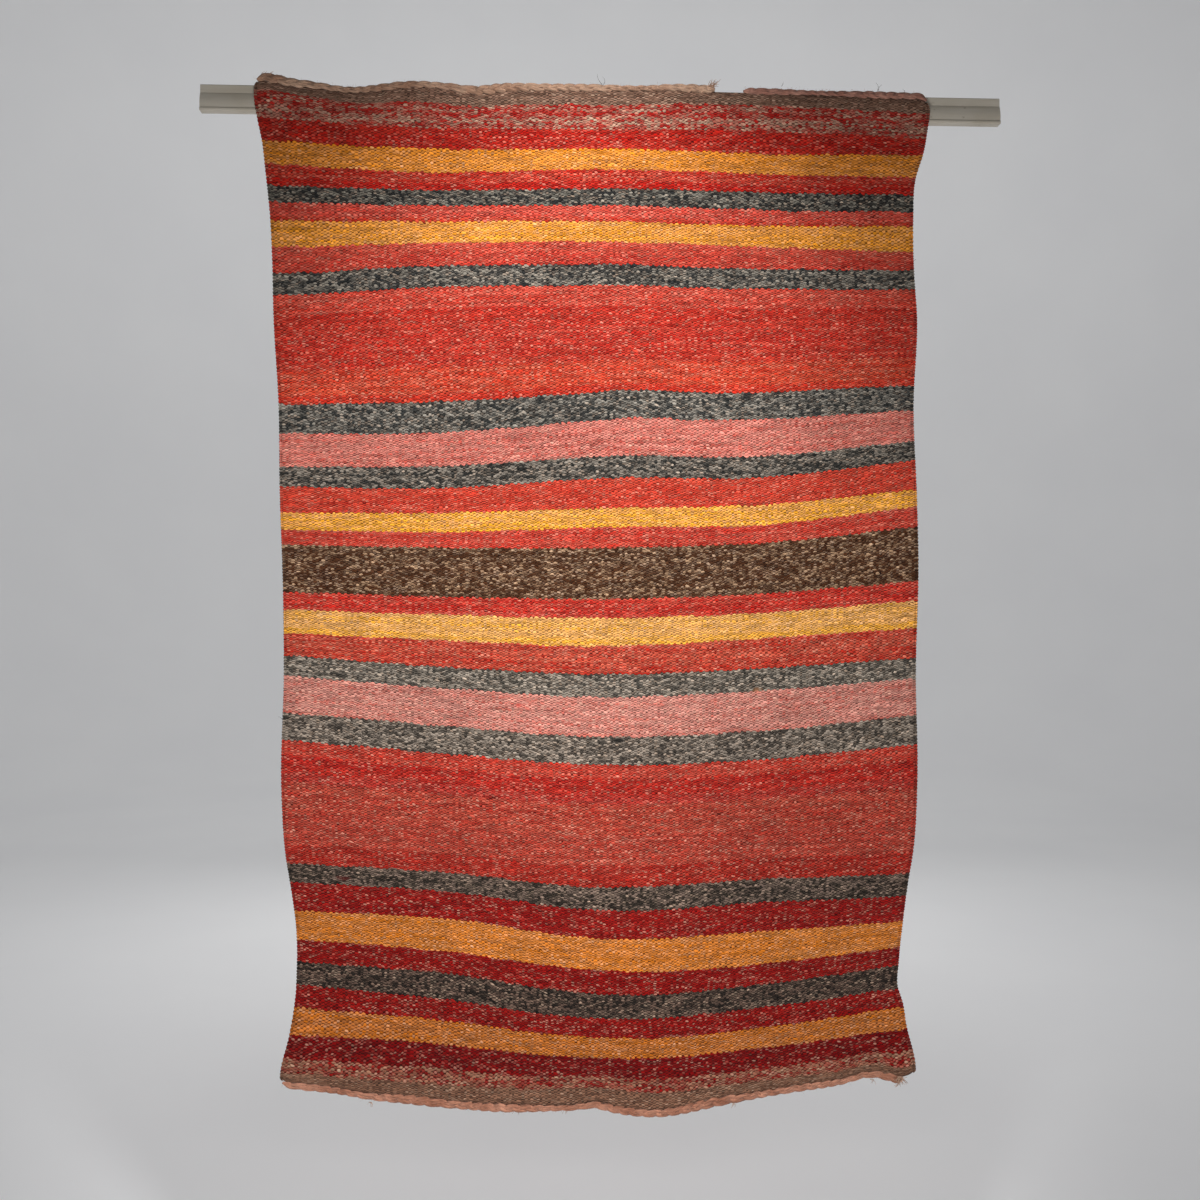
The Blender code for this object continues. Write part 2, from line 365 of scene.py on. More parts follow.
def fadeBetween(tree, value, low, high, start=0.0, end=1.0):
    node = tree.nodes.new("ShaderNodeMapRange")
    node.interpolation_type = "SMOOTHSTEP"
    feed(tree, node.inputs[0], value)
    for socket, number in zip(node.inputs[1:5], (low, high, start, end)):
        socket.default_value = number
    return node.outputs[0]


def addBump(tree, shader, height, distance, strength=1.0):
    bump = tree.nodes.new("ShaderNodeBump")
    bump.inputs["Strength"].default_value = strength
    bump.inputs["Distance"].default_value = distance
    feed(tree, bump.inputs["Height"], height)
    feed(tree, shader.inputs["Normal"], bump.outputs[0])


def linearColour(rgb, alpha=1.0):
    def channel(value):
        value /= 255
        return value / 12.92 if value <= 0.04045 else ((value + 0.055) / 1.055) ** 2.4

    return (*(channel(value) for value in rgb), alpha)


def newMaterial(name):
    material = bpy.data.materials.new(name)
    material.use_nodes = True
    tree = material.node_tree
    return material, tree, tree.nodes["Principled BSDF"]


# Banded wool. A pick shows as a bead over every other warp, and the next pick fills in between.

wool = {
    "warpPitch": 0.0057,
    "pickPitch": 0.0024,
    "beadReach": 0.78,  # of a warp pitch
    "beadRise": 0.92,  # of a pick pitch
    "slant": 0.10,  # how far a bead climbs across one warp pitch, in picks
    # painted shade in the gaps between the beads: how deep it is, and its tint
    "gapShade": 0.84,
    "gapShadeTint": (1.0, 0.80, 0.74),
    "paintedHighlight": (232, 200, 172),  # painted highlight, pale, on the bead tops
    "paintedHighlightShare": 0.34,
    "reliefMm": 1.1,
    "waver": 2.4,  # slow wander of the picks, in picks
    "jitter": 2.8,  # quick wander
    "roughness": 0.95,
    "sheen": 0.04,
    "sheenRoughness": 0.6,
    "specular": 0.1,
    "upperBands": 25,  # in the first of the two ramps
    # patterns: stretch across and down, detail and roughness
    "quick": ((52.0, 95.0, 0.0), 1.0, 0.5),
    "drift": ((0.020, 3.7, 0.0), 2.0, 0.6),
    "clusters": ((0.10, 0.45, 0.0), 1.0, 0.5),
    "flecks": ((270.0, 900.0, 0.0), 2.0, 0.6),
    "streaks": ((0.11, 6.1, 0.0), 2.0, 0.6),
    "fibres": ((500.0, 1500.0, 0.0), 2.0, 0.5),
    # fades: where each starts and ends, and the values there
    "streakShade": (0.30, 0.66, 0.62, 1.12),
    "fadingShade": (0.25, 0.75, 0.90, 1.08),
    "gapEdge": (0.48, 1.05, 1.0, 0.0),
    # the last is painted shade, darker on the lower half of each bead
    "undersideShade": (-0.4, 0.8, 1.10, 0.74),
}

# woven mm where it starts, yarn, second yarn, share of the second yarn,
# and how much that share changes from bead to bead, from pick to pick and in clusters
bandYarns = [
    (0, (140, 106, 88), (104, 74, 58), 0.40, 0.40, 0.20, 0.2),
    (29, (176, 138, 116), (166, 26, 18), 0.80, 0.45, 0.30, 0.5),
    (50, (176, 138, 116), (164, 26, 18), 0.52, 0.45, 0.35, 0.5),
    (74, (172, 18, 8), (190, 52, 36), 0.35, 0.25, 0.40, 0.2),
    (109, (220, 138, 58), (226, 134, 26), 0.40, 0.25, 0.55, 0.2),
    (143, (184, 34, 20), (204, 84, 64), 0.32, 0.25, 0.55, 0.2),
    (166, (176, 22, 12), (192, 48, 34), 0.30, 0.25, 0.40, 0.2),
    (180, (38, 38, 38), (138, 132, 120), 0.28, 0.50, 0.15, 0.2),
    (210, (200, 62, 48), (214, 94, 78), 0.38, 0.25, 0.45, 0.2),
    (232, (188, 42, 26), (206, 78, 56), 0.45, 0.25, 0.40, 0.2),
    (241, (230, 152, 76), (236, 150, 34), 0.42, 0.25, 0.65, 0.2),
    (279, (198, 64, 48), (212, 98, 78), 0.38, 0.25, 0.45, 0.2),
    (303, (190, 46, 34), (206, 84, 66), 0.42, 0.25, 0.40, 0.2),
    (322, (42, 43, 43), (146, 138, 126), 0.32, 0.50, 0.25, 0.2),
    (360, (198, 56, 40), (214, 92, 74), 0.42, 0.25, 0.45, 0.2),
    (396, (200, 60, 44), (186, 34, 22), 0.42, 0.25, 0.50, 0.2),
    (432, (192, 40, 28), (206, 78, 60), 0.32, 0.25, 0.45, 0.2),
    (474, (190, 42, 30), (204, 76, 56), 0.38, 0.25, 0.50, 0.3),
    (504, (206, 56, 34), (216, 98, 72), 0.38, 0.25, 0.40, 0.2),
    (528, (30, 16, 14), (206, 60, 40), 0.42, 0.30, 0.00, 1.2),
    (531, (204, 56, 34), (216, 94, 66), 0.38, 0.25, 0.40, 0.2),
    (546, (198, 44, 28), (212, 74, 52), 0.38, 0.25, 0.40, 0.2),
    (560, (48, 49, 48), (150, 143, 132), 0.32, 0.50, 0.20, 0.2),
    (609, (216, 130, 116), (206, 88, 74), 0.28, 0.35, 0.40, 0.3),
    (677, (44, 44, 42), (148, 138, 126), 0.32, 0.50, 0.20, 0.2),
    (725, (210, 72, 52), (196, 42, 28), 0.35, 0.30, 0.50, 0.2),
    (772, (240, 166, 92), (244, 168, 42), 0.42, 0.25, 0.65, 0.2),
    (813, (196, 50, 36), (210, 90, 72), 0.38, 0.30, 0.50, 0.2),
    (849, (74, 42, 22), (196, 160, 126), 0.10, 0.44, 0.26, 0.2),
    (944, (192, 38, 28), (206, 84, 66), 0.38, 0.25, 0.45, 0.2),
    (981, (234, 170, 98), (240, 168, 50), 0.40, 0.25, 0.65, 0.2),
    (1035, (200, 88, 66), (182, 42, 28), 0.40, 0.30, 0.60, 0.2),
    (1084, (66, 62, 56), (162, 150, 136), 0.38, 0.50, 0.20, 0.2),
    (1135, (206, 138, 124), (198, 98, 84), 0.28, 0.35, 0.40, 0.3),
    (1204, (62, 56, 50), (160, 146, 132), 0.38, 0.50, 0.20, 0.2),
    (1255, (186, 46, 32), (194, 76, 60), 0.38, 0.25, 0.50, 0.2),
    (1287, (184, 46, 34), (166, 28, 22), 0.45, 0.25, 0.50, 0.3),
    (1317, (168, 40, 32), (188, 66, 54), 0.40, 0.25, 0.40, 0.4),
    (1335, (184, 76, 58), (168, 46, 34), 0.40, 0.30, 0.50, 0.3),
    (1392, (172, 54, 40), (182, 76, 60), 0.38, 0.30, 0.55, 0.3),
    (1452, (164, 32, 22), (172, 56, 42), 0.38, 0.25, 0.45, 0.2),
    (1487, (44, 38, 32), (128, 108, 96), 0.32, 0.50, 0.20, 0.2),
    (1536, (138, 12, 10), (156, 34, 26), 0.30, 0.30, 0.45, 0.2),
    (1587, (204, 124, 58), (208, 116, 26), 0.42, 0.25, 0.65, 0.2),
    (1641, (132, 8, 6), (150, 26, 20), 0.30, 0.30, 0.45, 0.2),
    (1688, (36, 30, 26), (110, 88, 76), 0.32, 0.50, 0.20, 0.2),
    (1734, (132, 8, 6), (150, 26, 20), 0.30, 0.30, 0.40, 0.2),
    (1771, (186, 110, 54), (190, 104, 24), 0.42, 0.25, 0.65, 0.2),
    (1808, (112, 2, 4), (134, 16, 12), 0.30, 0.30, 0.35, 0.2),
    (1847, (158, 112, 88), (134, 12, 12), 0.52, 0.45, 0.30, 0.5),
    (1869, (142, 102, 80), (106, 72, 56), 0.38, 0.40, 0.20, 0.2),
]

# marks in the cloth: across, woven, half width, half height in metres, colour and strength
marks = [
    (0.628, 1.215, 0.013, 0.0045, (18, 18, 18), 0.9),
    (0.850, 0.268, 0.020, 0.012, (150, 92, 40), 0.45),
    (0.896, 1.132, 0.009, 0.006, (150, 96, 50), 0.5),
    (0.440, 1.156, 0.008, 0.004, (196, 60, 50), 0.6),
    (0.100, 1.520, 0.016, 0.006, (90, 10, 12), 0.5),
]


# a ramp has at most 32 stops, so the bands take two, and the lower one starts at the split
def bandRamp(tree, position, rows, split):
    outputs = []
    for part in (rows[:split], rows[split:]):
        node = tree.nodes.new("ShaderNodeValToRGB")
        ramp = node.color_ramp
        ramp.interpolation = "CONSTANT"
        ramp.elements.remove(ramp.elements[1])
        ramp.elements[0].position = 0.0
        ramp.elements[0].color = part[0][1]
        for start, colour in part[1:]:
            ramp.elements.new(start / 1000 / clothLength).color = colour
        feed(tree, node.inputs[0], position)
        outputs.append(node)
    lower = calc(tree, "GREATER_THAN", position, rows[split][0] / 1000 / clothLength)
    colour = mixColour(tree, lower, outputs[0].outputs[0], outputs[1].outputs[0])
    upperAlpha = calc(tree, "MULTIPLY", outputs[0].outputs[1], calc(tree, "SUBTRACT", 1.0, lower))
    alpha = calc(tree, "MULTIPLY_ADD", outputs[1].outputs[1], lower, upperAlpha)
    return colour, alpha


# the way from a bead's middle to a place, in bead sizes and slanted
def fromBead(tree, place, bead):
    reach = (1 / wool["beadReach"], 1 / wool["beadRise"], 1.0)
    x, y, _ = separate(tree, vectorCalc(tree, "SUBTRACT", place, bead))
    climbed = calc(tree, "MULTIPLY_ADD", x, wool["slant"], y)
    return vectorCalc(tree, "MULTIPLY", combine(tree, x, climbed), reach)


def beadLattice(tree, place):
    even = vectorCalc(tree, "SNAP", vectorCalc(tree, "ADD", place, (1, 1, 0)), (2, 2, 2))
    odd = vectorCalc(tree, "ADD", vectorCalc(tree, "SNAP", place, (2, 2, 2)), (1, 1, 0))
    fromEven = fromBead(tree, place, even)
    fromOdd = fromBead(tree, place, odd)
    evenFar = vectorCalc(tree, "DOT_PRODUCT", fromEven, fromEven, out=1)
    oddFar = vectorCalc(tree, "DOT_PRODUCT", fromOdd, fromOdd, out=1)
    useOdd = calc(tree, "LESS_THAN", oddFar, evenFar)
    bead = mixVector(tree, useOdd, even, odd)
    local = mixVector(tree, useOdd, fromEven, fromOdd)
    return bead, local, calc(tree, "MINIMUM", evenFar, oddFar)


def bandedWool():
    material, tree, shader = newMaterial("bandedWool")
    uv = weaveUv(tree)
    pitch = (1 / wool["warpPitch"], 1 / wool["pickPitch"], 0.0)
    slow = noise(tree, uv, 22.0, 2.0)
    quick = stretchedNoise(tree, uv, *wool["quick"])
    waver = calc(tree, "MULTIPLY", calc(tree, "SUBTRACT", slow, 0.5), wool["waver"])
    waver = calc(tree, "MULTIPLY_ADD", calc(tree, "SUBTRACT", quick, 0.5), wool["jitter"], waver)
    shift = combine(tree, calc(tree, "MULTIPLY", waver, 0.5), waver)
    place = vectorCalc(tree, "MULTIPLY_ADD", uv, pitch, shift)
    bead, local, far = beadLattice(tree, place)
    beadPick = separate(tree, bead)[1]
    position = calc(tree, "MULTIPLY", calc(tree, "ADD", beadPick, 0.5), wool["pickPitch"] / clothLength)

    colours = [(row[0], linearColour(row[1], row[3])) for row in bandYarns]
    seconds = [(row[0], linearColour(row[2])) for row in bandYarns]
    changes = [(row[0], (row[4], row[5], row[6] / 2, 1.0)) for row in bandYarns]
    yarn, share = bandRamp(tree, position, colours, wool["upperBands"])
    secondYarn, _ = bandRamp(tree, position, seconds, wool["upperBands"])
    change, _ = bandRamp(tree, position, changes, wool["upperBands"])
    channels = tree.nodes.new("ShaderNodeSeparateColor")
    feed(tree, channels.inputs[0], change)
    beadWeight, pickWeight, clusterWeight = channels.outputs

    beadTone = whiteNoise(tree, bead)
    pickTone = whiteNoise(tree, combine(tree, 0.0, beadPick))
    # a pick's tone drifts along it, as handspun yarn does
    drift = stretchedNoise(tree, bead, *wool["drift"])
    driftTone = fadeBetween(tree, drift, 0.32, 0.68)
    pickMix = calc(tree, "MULTIPLY_ADD", pickTone, 0.5, calc(tree, "MULTIPLY", driftTone, 0.5))
    clusters = stretchedNoise(tree, bead, *wool["clusters"])
    # flecks finer than a bead, which make the heathered greys and the brown
    flecks = stretchedNoise(tree, uv, *wool["flecks"])

    amount = share
    swings = (
        (beadTone, 2.0, beadWeight),
        (pickMix, 2.0, pickWeight),
        (clusters, 5.0, clusterWeight),
        (flecks, 4.0, beadWeight),
    )
    for tone, reach, weight in swings:
        swing = calc(tree, "MULTIPLY", calc(tree, "SUBTRACT", tone, 0.5), reach)
        amount = calc(tree, "MULTIPLY_ADD", swing, weight, amount)
    amount = fadeBetween(tree, amount, 0.0, 1.0)
    colour = mixColour(tree, amount, yarn, secondYarn)
    # painted highlight: pale streaks on the bead tops, strongest at a bead's middle
    highlightStreaks = vectorCalc(tree, "MULTIPLY", bead, (0.31, 5.3, 0.0))
    highlightStreaks = vectorCalc(tree, "ADD", highlightStreaks, (7.0, 0.4, 0.0))
    paintedHighlightTone = fadeBetween(tree, noise(tree, highlightStreaks, 1.0, 1.0), 0.46, 0.74, 0.0, wool["paintedHighlightShare"])
    paintedHighlightTone = calc(tree, "MULTIPLY", paintedHighlightTone, fadeBetween(tree, far, 0.1, 0.7, 1.0, 0.0))
    colour = mixColour(tree, paintedHighlightTone, colour, linearColour(wool["paintedHighlight"]))

    # bead by bead brightness, soft fading, painted shade in the gaps between the beads and on the lower half
    # of each bead
    beadShade = whiteNoise(tree, vectorCalc(tree, "ADD", bead, (31.0, 57.0, 0.0)))
    brightness = calc(tree, "MULTIPLY_ADD", beadShade, 0.34, 0.86)
    streaks = stretchedNoise(tree, bead, *wool["streaks"])
    brightness = calc(tree, "MULTIPLY", brightness, fadeBetween(tree, streaks, *wool["streakShade"]))
    fading = fadeBetween(tree, noise(tree, uv, 2.6, 3.0), *wool["fadingShade"])
    fibres = stretchedNoise(tree, uv, *wool["fibres"])
    fibreShade = calc(tree, "MULTIPLY_ADD", fibres, 0.5, 0.75)
    fullness = whiteNoise(tree, vectorCalc(tree, "ADD", bead, (83.0, 7.0, 0.0)))
    fullness = calc(tree, "MULTIPLY_ADD", fullness, 0.5, 0.80)
    gap = fadeBetween(tree, calc(tree, "MULTIPLY", far, fullness), *wool["gapEdge"])
    localX, localY, _ = separate(tree, local)
    # painted shade: each bead is darker on its lower half, as under light from above
    paintedUnderShade = fadeBetween(tree, localY, *wool["undersideShade"])
    shade = calc(tree, "MULTIPLY", brightness, fading)
    shade = calc(tree, "MULTIPLY", shade, fibreShade)
    shade = calc(tree, "MULTIPLY", shade, paintedUnderShade)
    # painted shade: the gaps between the beads are darkened, deeper in colour
    dark = tuple((1.0 - wool["gapShade"]) * channel for channel in wool["gapShadeTint"])
    paintedGapShade = mixVector(tree, gap, dark, (1.0, 1.0, 1.0))
    colour = vectorCalc(tree, "MULTIPLY", colour, paintedGapShade)
    colour = shaded(tree, colour, shade)

    for x, woven, halfWidth, halfHeight, tint, strength in marks:
        offset = vectorCalc(tree, "SUBTRACT", uv, (x, woven, 0.0))
        offset = vectorCalc(tree, "MULTIPLY", offset, (1 / halfWidth, 1 / halfHeight, 0.0))
        reach = vectorCalc(tree, "LENGTH", offset, out=1)
        reach = calc(tree, "ADD", reach, calc(tree, "MULTIPLY", beadTone, 0.5))
        mask = fadeBetween(tree, reach, 0.5, 1.5, strength, 0.0)
        colour = mixColour(tree, mask, colour, linearColour(tint))

    feed(tree, shader.inputs["Base Color"], colour)
    roughness = calc(tree, "MULTIPLY_ADD", fibres, 0.08, wool["roughness"] - 0.06)
    feed(tree, shader.inputs["Roughness"], roughness)
    shader.inputs["Sheen Weight"].default_value = wool["sheen"]
    shader.inputs["Sheen Roughness"].default_value = wool["sheenRoughness"]
    shader.inputs["Specular IOR Level"].default_value = wool["specular"]

    # relief: round beads, the yarn's slanting twist and loose fibres
    dome = calc(tree, "MULTIPLY_ADD", far, -0.82, 1.0)
    dome = calc(tree, "SQRT", calc(tree, "MAXIMUM", dome, 0.02))
    twist = calc(tree, "MULTIPLY_ADD", localX, 5.0, calc(tree, "MULTIPLY", localY, 6.0))
    twist = calc(tree, "MULTIPLY", calc(tree, "SINE", twist), 0.10)
    relief = calc(tree, "ADD", dome, twist)
    relief = calc(tree, "MULTIPLY_ADD", fibres, 0.18, relief)
    relief = calc(tree, "MULTIPLY_ADD", beadTone, 0.20, relief)
    addBump(tree, shader, relief, wool["reliefMm"] / 1000)
    return material


def wovenBlanket(material):
    columns, rows = cloth["columns"], cloth["rows"]
    across, woven = np.meshgrid(np.linspace(0, 1, columns), np.linspace(0, clothLength, rows))
    across, woven = across.ravel(), woven.ravel()
    x, y, z = clothPoints(across, woven)
    sideways = np.minimum(across, 1 - across) * cloth["width"]
    endways = np.minimum(woven, clothLength - woven)
    rim = smoothStep(np.minimum(sideways, endways) / cloth["rimWidth"])
    thin = cloth["thickness"] - cloth["rimThickness"]
    inset = thin * (1 - rim) / 2
    front = np.stack((x, y - cloth["thickness"] + inset, z), axis=1)
    back = np.stack((x, y - inset, z), axis=1)
    points = np.concatenate((front, back))
    uv = np.tile(np.stack((across * cloth["width"], woven), axis=1), (2, 1))

    grid = np.arange(rows * columns).reshape(rows, columns)
    a, b, c, d = grid[:-1, :-1], grid[1:, :-1], grid[1:, 1:], grid[:-1, 1:]
    faces = np.stack((a, b, c, d), axis=-1).reshape(-1, 4)
    backFaces = faces[:, ::-1] + rows * columns
    rimLine = np.concatenate((grid[0, :], grid[1:, -1], grid[-1, -2::-1], grid[-2:0:-1, 0]))
    following = np.roll(rimLine, -1)
    backLine, backFollowing = rimLine + rows * columns, following + rows * columns
    rimFaces = np.stack((rimLine, following, backFollowing, backLine), axis=-1)
    faces = np.concatenate((faces, backFaces, rimFaces))
    return addMesh("wovenBlanket", points, faces.tolist(), uv[faces.ravel()], material)


# Tubes: each is swept along its path and closed at both ends


def newPile():
    return {"points": [], "faces": [], "uvs": [], "count": 0}


def addTube(pile, path, wide, deep, sides, uvs=None):
    path = np.asarray(path, float)
    count = len(path)
    wide = np.broadcast_to(wide, count)
    deep = np.broadcast_to(deep, count)
    run = np.gradient(path, axis=0)
    run /= np.linalg.norm(run, axis=1)[:, None]
    side = np.cross(run, np.array((0.0, 1.0, 0.0)))
    side /= np.maximum(np.linalg.norm(side, axis=1)[:, None], 1e-9)
    out = np.cross(side, run)
    angles = np.arange(sides) * 2 * math.pi / sides
    ring = path[:, None, :] + side[:, None, :] * (np.cos(angles)[None, :, None] * wide[:, None, None])
    ring = ring + out[:, None, :] * (np.sin(angles)[None, :, None] * deep[:, None, None])
    length = np.concatenate(((0.0,), np.cumsum(np.linalg.norm(np.diff(path, axis=0), axis=1))))
    start = pile["count"]
    for k in range(count - 1):
        for j in range(sides):
            n = (j + 1) % sides
            here, ahead = start + k * sides, start + (k + 1) * sides
            pile["faces"].append((here + j, here + n, ahead + n, ahead + j))
            if uvs is None:
                corner = ((length[k], j), (length[k], j + 1), (length[k + 1], j + 1), (length[k + 1], j))
                pile["uvs"] += [(u, v / sides) for u, v in corner]
            else:
                pile["uvs"] += [uvs[k], uvs[k], uvs[k + 1], uvs[k + 1]]
    for end, order in ((0, range(sides - 1, -1, -1)), (count - 1, range(sides))):
        pile["faces"].append(tuple(start + end * sides + j for j in order))
        pile["uvs"] += [uvs[end] if uvs is not None else (length[end], 0.5)] * sides
    pile["points"].append(ring.reshape(-1, 3))
    pile["count"] += count * sides


def pileMesh(name, pile, material):
    return addMesh(name, np.concatenate(pile["points"]), pile["faces"], pile["uvs"], material)


# Selvages: the weft turns round the outer warps, and shows as a row of small loops

selvageLoops = {"loopPitch": 0.0062, "radius": 0.0017, "swell": 0.00055, "stationsPerLoop": 4}


def selvageCord(name, side, material):
    count = int(clothLength / selvageLoops["loopPitch"]) * selvageLoops["stationsPerLoop"]
    woven = np.linspace(0.001, clothLength - 0.001, count)
    across = np.full(count, side)
    x, y, z = clothPoints(across, woven)
    outward = 1.0 if side > 0.5 else -1.0
    loop = np.abs(np.sin(np.arange(count) * math.pi / selvageLoops["stationsPerLoop"]))
    random = np.random.default_rng(11 + int(side))
    loop = loop * random.uniform(0.7, 1.1, count)
    radius = selvageLoops["radius"] + selvageLoops["swell"] * (loop - 0.5)
    x = x + outward * (0.0004 + 0.0009 * loop)
    path = np.stack((x, y - cloth["thickness"] / 2, z), axis=1)
    uvs = [(0.002 if side < 0.5 else cloth["width"] - 0.002, s) for s in woven]
    pile = newPile()
    addTube(pile, path, radius, radius * 1.05, 6, uvs)
    return pileMesh(name, pile, material)


# Plaits along the ends: three flat strands that cross each other

plaits = {
    "topPlaitLeft": {
        "replaces": "top_braid_left",
        "end": 0.0,
        "from": -0.644,
        "to": 0.206,
        "height": 0.0155,
        "turn": 0.074,
        "colour": ((196, 160, 134), (158, 118, 94)),
    },
    "topPlaitRight": {
        "replaces": "top_braid_right",
        "end": 0.0,
        "from": 0.258,
        "to": 0.606,
        "height": 0.0135,
        "turn": 0.068,
        # pinker and darker than the left plait
        "colour": ((190, 140, 122), (150, 100, 84)),
    },
    "bottomPlait": {
        "replaces": "bottom_braid",
        "end": 1.0,
        "from": -0.602,
        "to": 0.566,
        "height": 0.0160,
        "turn": 0.072,
        "colour": ((200, 142, 116), (158, 102, 78)),
    },
}


# evenly spaced points just outside one end of the cloth, with the way out of it
def endRoute(end, start, stop, step, lift):
    shares = np.linspace(0, 1, 1600)
    x, y, z = clothPoints(shares, np.full(len(shares), end * clothLength))
    inside = (x >= start) & (x <= stop)
    edge = np.stack((x, y - cloth["thickness"] / 2, z), axis=1)[inside]
    length = np.concatenate(((0.0,), np.cumsum(np.linalg.norm(np.diff(edge, axis=0), axis=1))))
    along = np.arange(0.0, length[-1], step)
    path = np.stack([np.interp(along, length, edge[:, k]) for k in range(3)], axis=1)
    run = np.gradient(path, axis=0)
    out = np.stack((-run[:, 2], np.zeros(len(run)), run[:, 0]), axis=1)
    out /= np.linalg.norm(out, axis=1)[:, None]
    out *= 1.0 if end < 0.5 else -1.0
    return path + out * lift, out, along


def plaitYarn(name, colours):
    material, tree, shader = newMaterial(name)
    uv = weaveUv(tree)
    lines = stretchedNoise(tree, uv, (70.0, 11.0, 0.0), 3.0, 0.6)
    along, around, _ = separate(tree, vectorCalc(tree, "MULTIPLY", uv, (330.0, 3.0, 0.0)))
    ply = calc(tree, "SINE", calc(tree, "ADD", along, calc(tree, "MULTIPLY", around, 2 * math.pi)))
    place = objectPlace(tree)
    slow = noise(tree, place, 28.0, 3.0)
    fine = noise(tree, place, 900.0, 3.0, 0.7)
    amount = calc(tree, "MULTIPLY_ADD", slow, 1.2, calc(tree, "MULTIPLY", fine, 0.5))
    amount = fadeBetween(tree, amount, 0.55, 1.15)
    colour = mixColour(tree, amount, linearColour(colours[0]), linearColour(colours[1]))
    # painted shade in the grooves between the plies, then random streaks and flecks
    shade = fadeBetween(tree, ply, -1.0, 0.4, 0.82, 1.0)
    shade = calc(tree, "MULTIPLY", shade, fadeBetween(tree, lines, 0.30, 0.60, 0.55, 1.12))
    shade = calc(tree, "MULTIPLY", shade, calc(tree, "MULTIPLY_ADD", fine, 0.5, 0.75))
    feed(tree, shader.inputs["Base Color"], shaded(tree, colour, shade))
    feed(tree, shader.inputs["Roughness"], calc(tree, "MULTIPLY_ADD", fine, 0.1, 0.88))
    shader.inputs["Sheen Weight"].default_value = 0.15
    shader.inputs["Specular IOR Level"].default_value = 0.2
    relief = calc(tree, "MULTIPLY_ADD", lines, 2.0, fine)
    relief = calc(tree, "MULTIPLY_ADD", ply, 0.3, relief)
    addBump(tree, shader, relief, 0.0007)
    return material


def plait(name, settings, material, seed):
    random = np.random.default_rng(seed)
    height = settings["height"]
    path, out, along = endRoute(settings["end"], settings["from"], settings["to"], 0.0024, height / 2 - 0.0036)
    wobble = 0.5 * np.sin(along * 21 + seed) + 0.35 * np.sin(along * 47 + 2 * seed)
    fullness = 1.0 + 0.16 * np.sin(along * 13 + seed) + 0.10 * np.sin(along * 33)
    ends = smoothStep(np.minimum(along, along[-1] - along) / 0.014)
    pile = newPile()
    for strand in range(3):
        turn = 2 * math.pi * (along / settings["turn"] + strand / 3) + wobble
        sway = (height / 2 - 0.0042) * fullness * (0.4 + 0.6 * ends)
        strandPath = path + out * (sway * np.sin(turn))[:, None]
        strandPath[:, 1] += -0.0016 * np.sin(2 * turn)
        wide = 0.0042 * fullness * (0.5 + 0.5 * ends) * random.uniform(0.93, 1.07, len(along))
        deep = 0.0027 * (0.5 + 0.5 * ends) * random.uniform(0.93, 1.07, len(along))
        addTube(pile, strandPath, wide, deep, 8)
    return pileMesh(name, pile, material)


# Rail: a moulded wooden strip, painted cream

rail = {
    "length": 1.50,
    "height": 0.050,
    "depth": 0.020,
    "bevel": 0.0006,
    "paint": (196, 188, 174),
    "agedPaint": (180, 170, 152),
    "underPaint": (150, 138, 120),
    "dentColour": (110, 96, 78),
    # height and depth down the moulded front
    "front": [
        (0.0236, 0.0125),
        (0.0095, 0.0125),
        (0.0087, 0.0130),
        (0.0078, 0.0138),
        (0.0042, 0.0152),
        (0.0005, 0.0165),
        (-0.0026, 0.0174),
        (-0.0060, 0.0181),
        (-0.0090, 0.0184),
        (-0.0120, 0.0184),
        (-0.0150, 0.0181),
        (-0.0182, 0.0174),
        (-0.0194, 0.0188),
        (-0.0206, 0.0198),
        (-0.0220, 0.0200),
        (-0.0234, 0.0198),
    ],
    "topDepth": 0.0112,
    "footDepth": 0.0186,
}


def creamPaint():
    material, tree, shader = newMaterial("creamPaint")
    place = objectPlace(tree)
    grain = stretchedNoise(tree, place, (9.0, 160.0, 160.0), 4.0, 0.6)
    blotch = noise(tree, place, 14.0, 3.0)
    scuffs = stretchedNoise(tree, place, (40, 120, 120), 5.0, 0.65)
    scuffs = fadeBetween(tree, scuffs, 0.62, 0.72)
    dents = fadeBetween(tree, noise(tree, place, 70.0, 2.0), 0.70, 0.76)
    tone = calc(tree, "MULTIPLY_ADD", grain, 0.35, calc(tree, "MULTIPLY", blotch, 0.5))
    tone = fadeBetween(tree, tone, 0.25, 0.65)
    colour = mixColour(tree, tone, linearColour(rail["paint"]), linearColour(rail["agedPaint"]))
    worn = calc(tree, "MULTIPLY", scuffs, 0.45)
    colour = mixColour(tree, worn, colour, linearColour(rail["underPaint"]))
    dented = calc(tree, "MULTIPLY", dents, 0.5)
    colour = mixColour(tree, dented, colour, linearColour(rail["dentColour"]))
    feed(tree, shader.inputs["Base Color"], colour)
    feed(tree, shader.inputs["Roughness"], calc(tree, "MULTIPLY_ADD", grain, 0.25, 0.38))
    relief = calc(tree, "SUBTRACT", grain, calc(tree, "MULTIPLY", dents, 0.8))
    addBump(tree, shader, relief, 0.0004, 0.6)
    return material


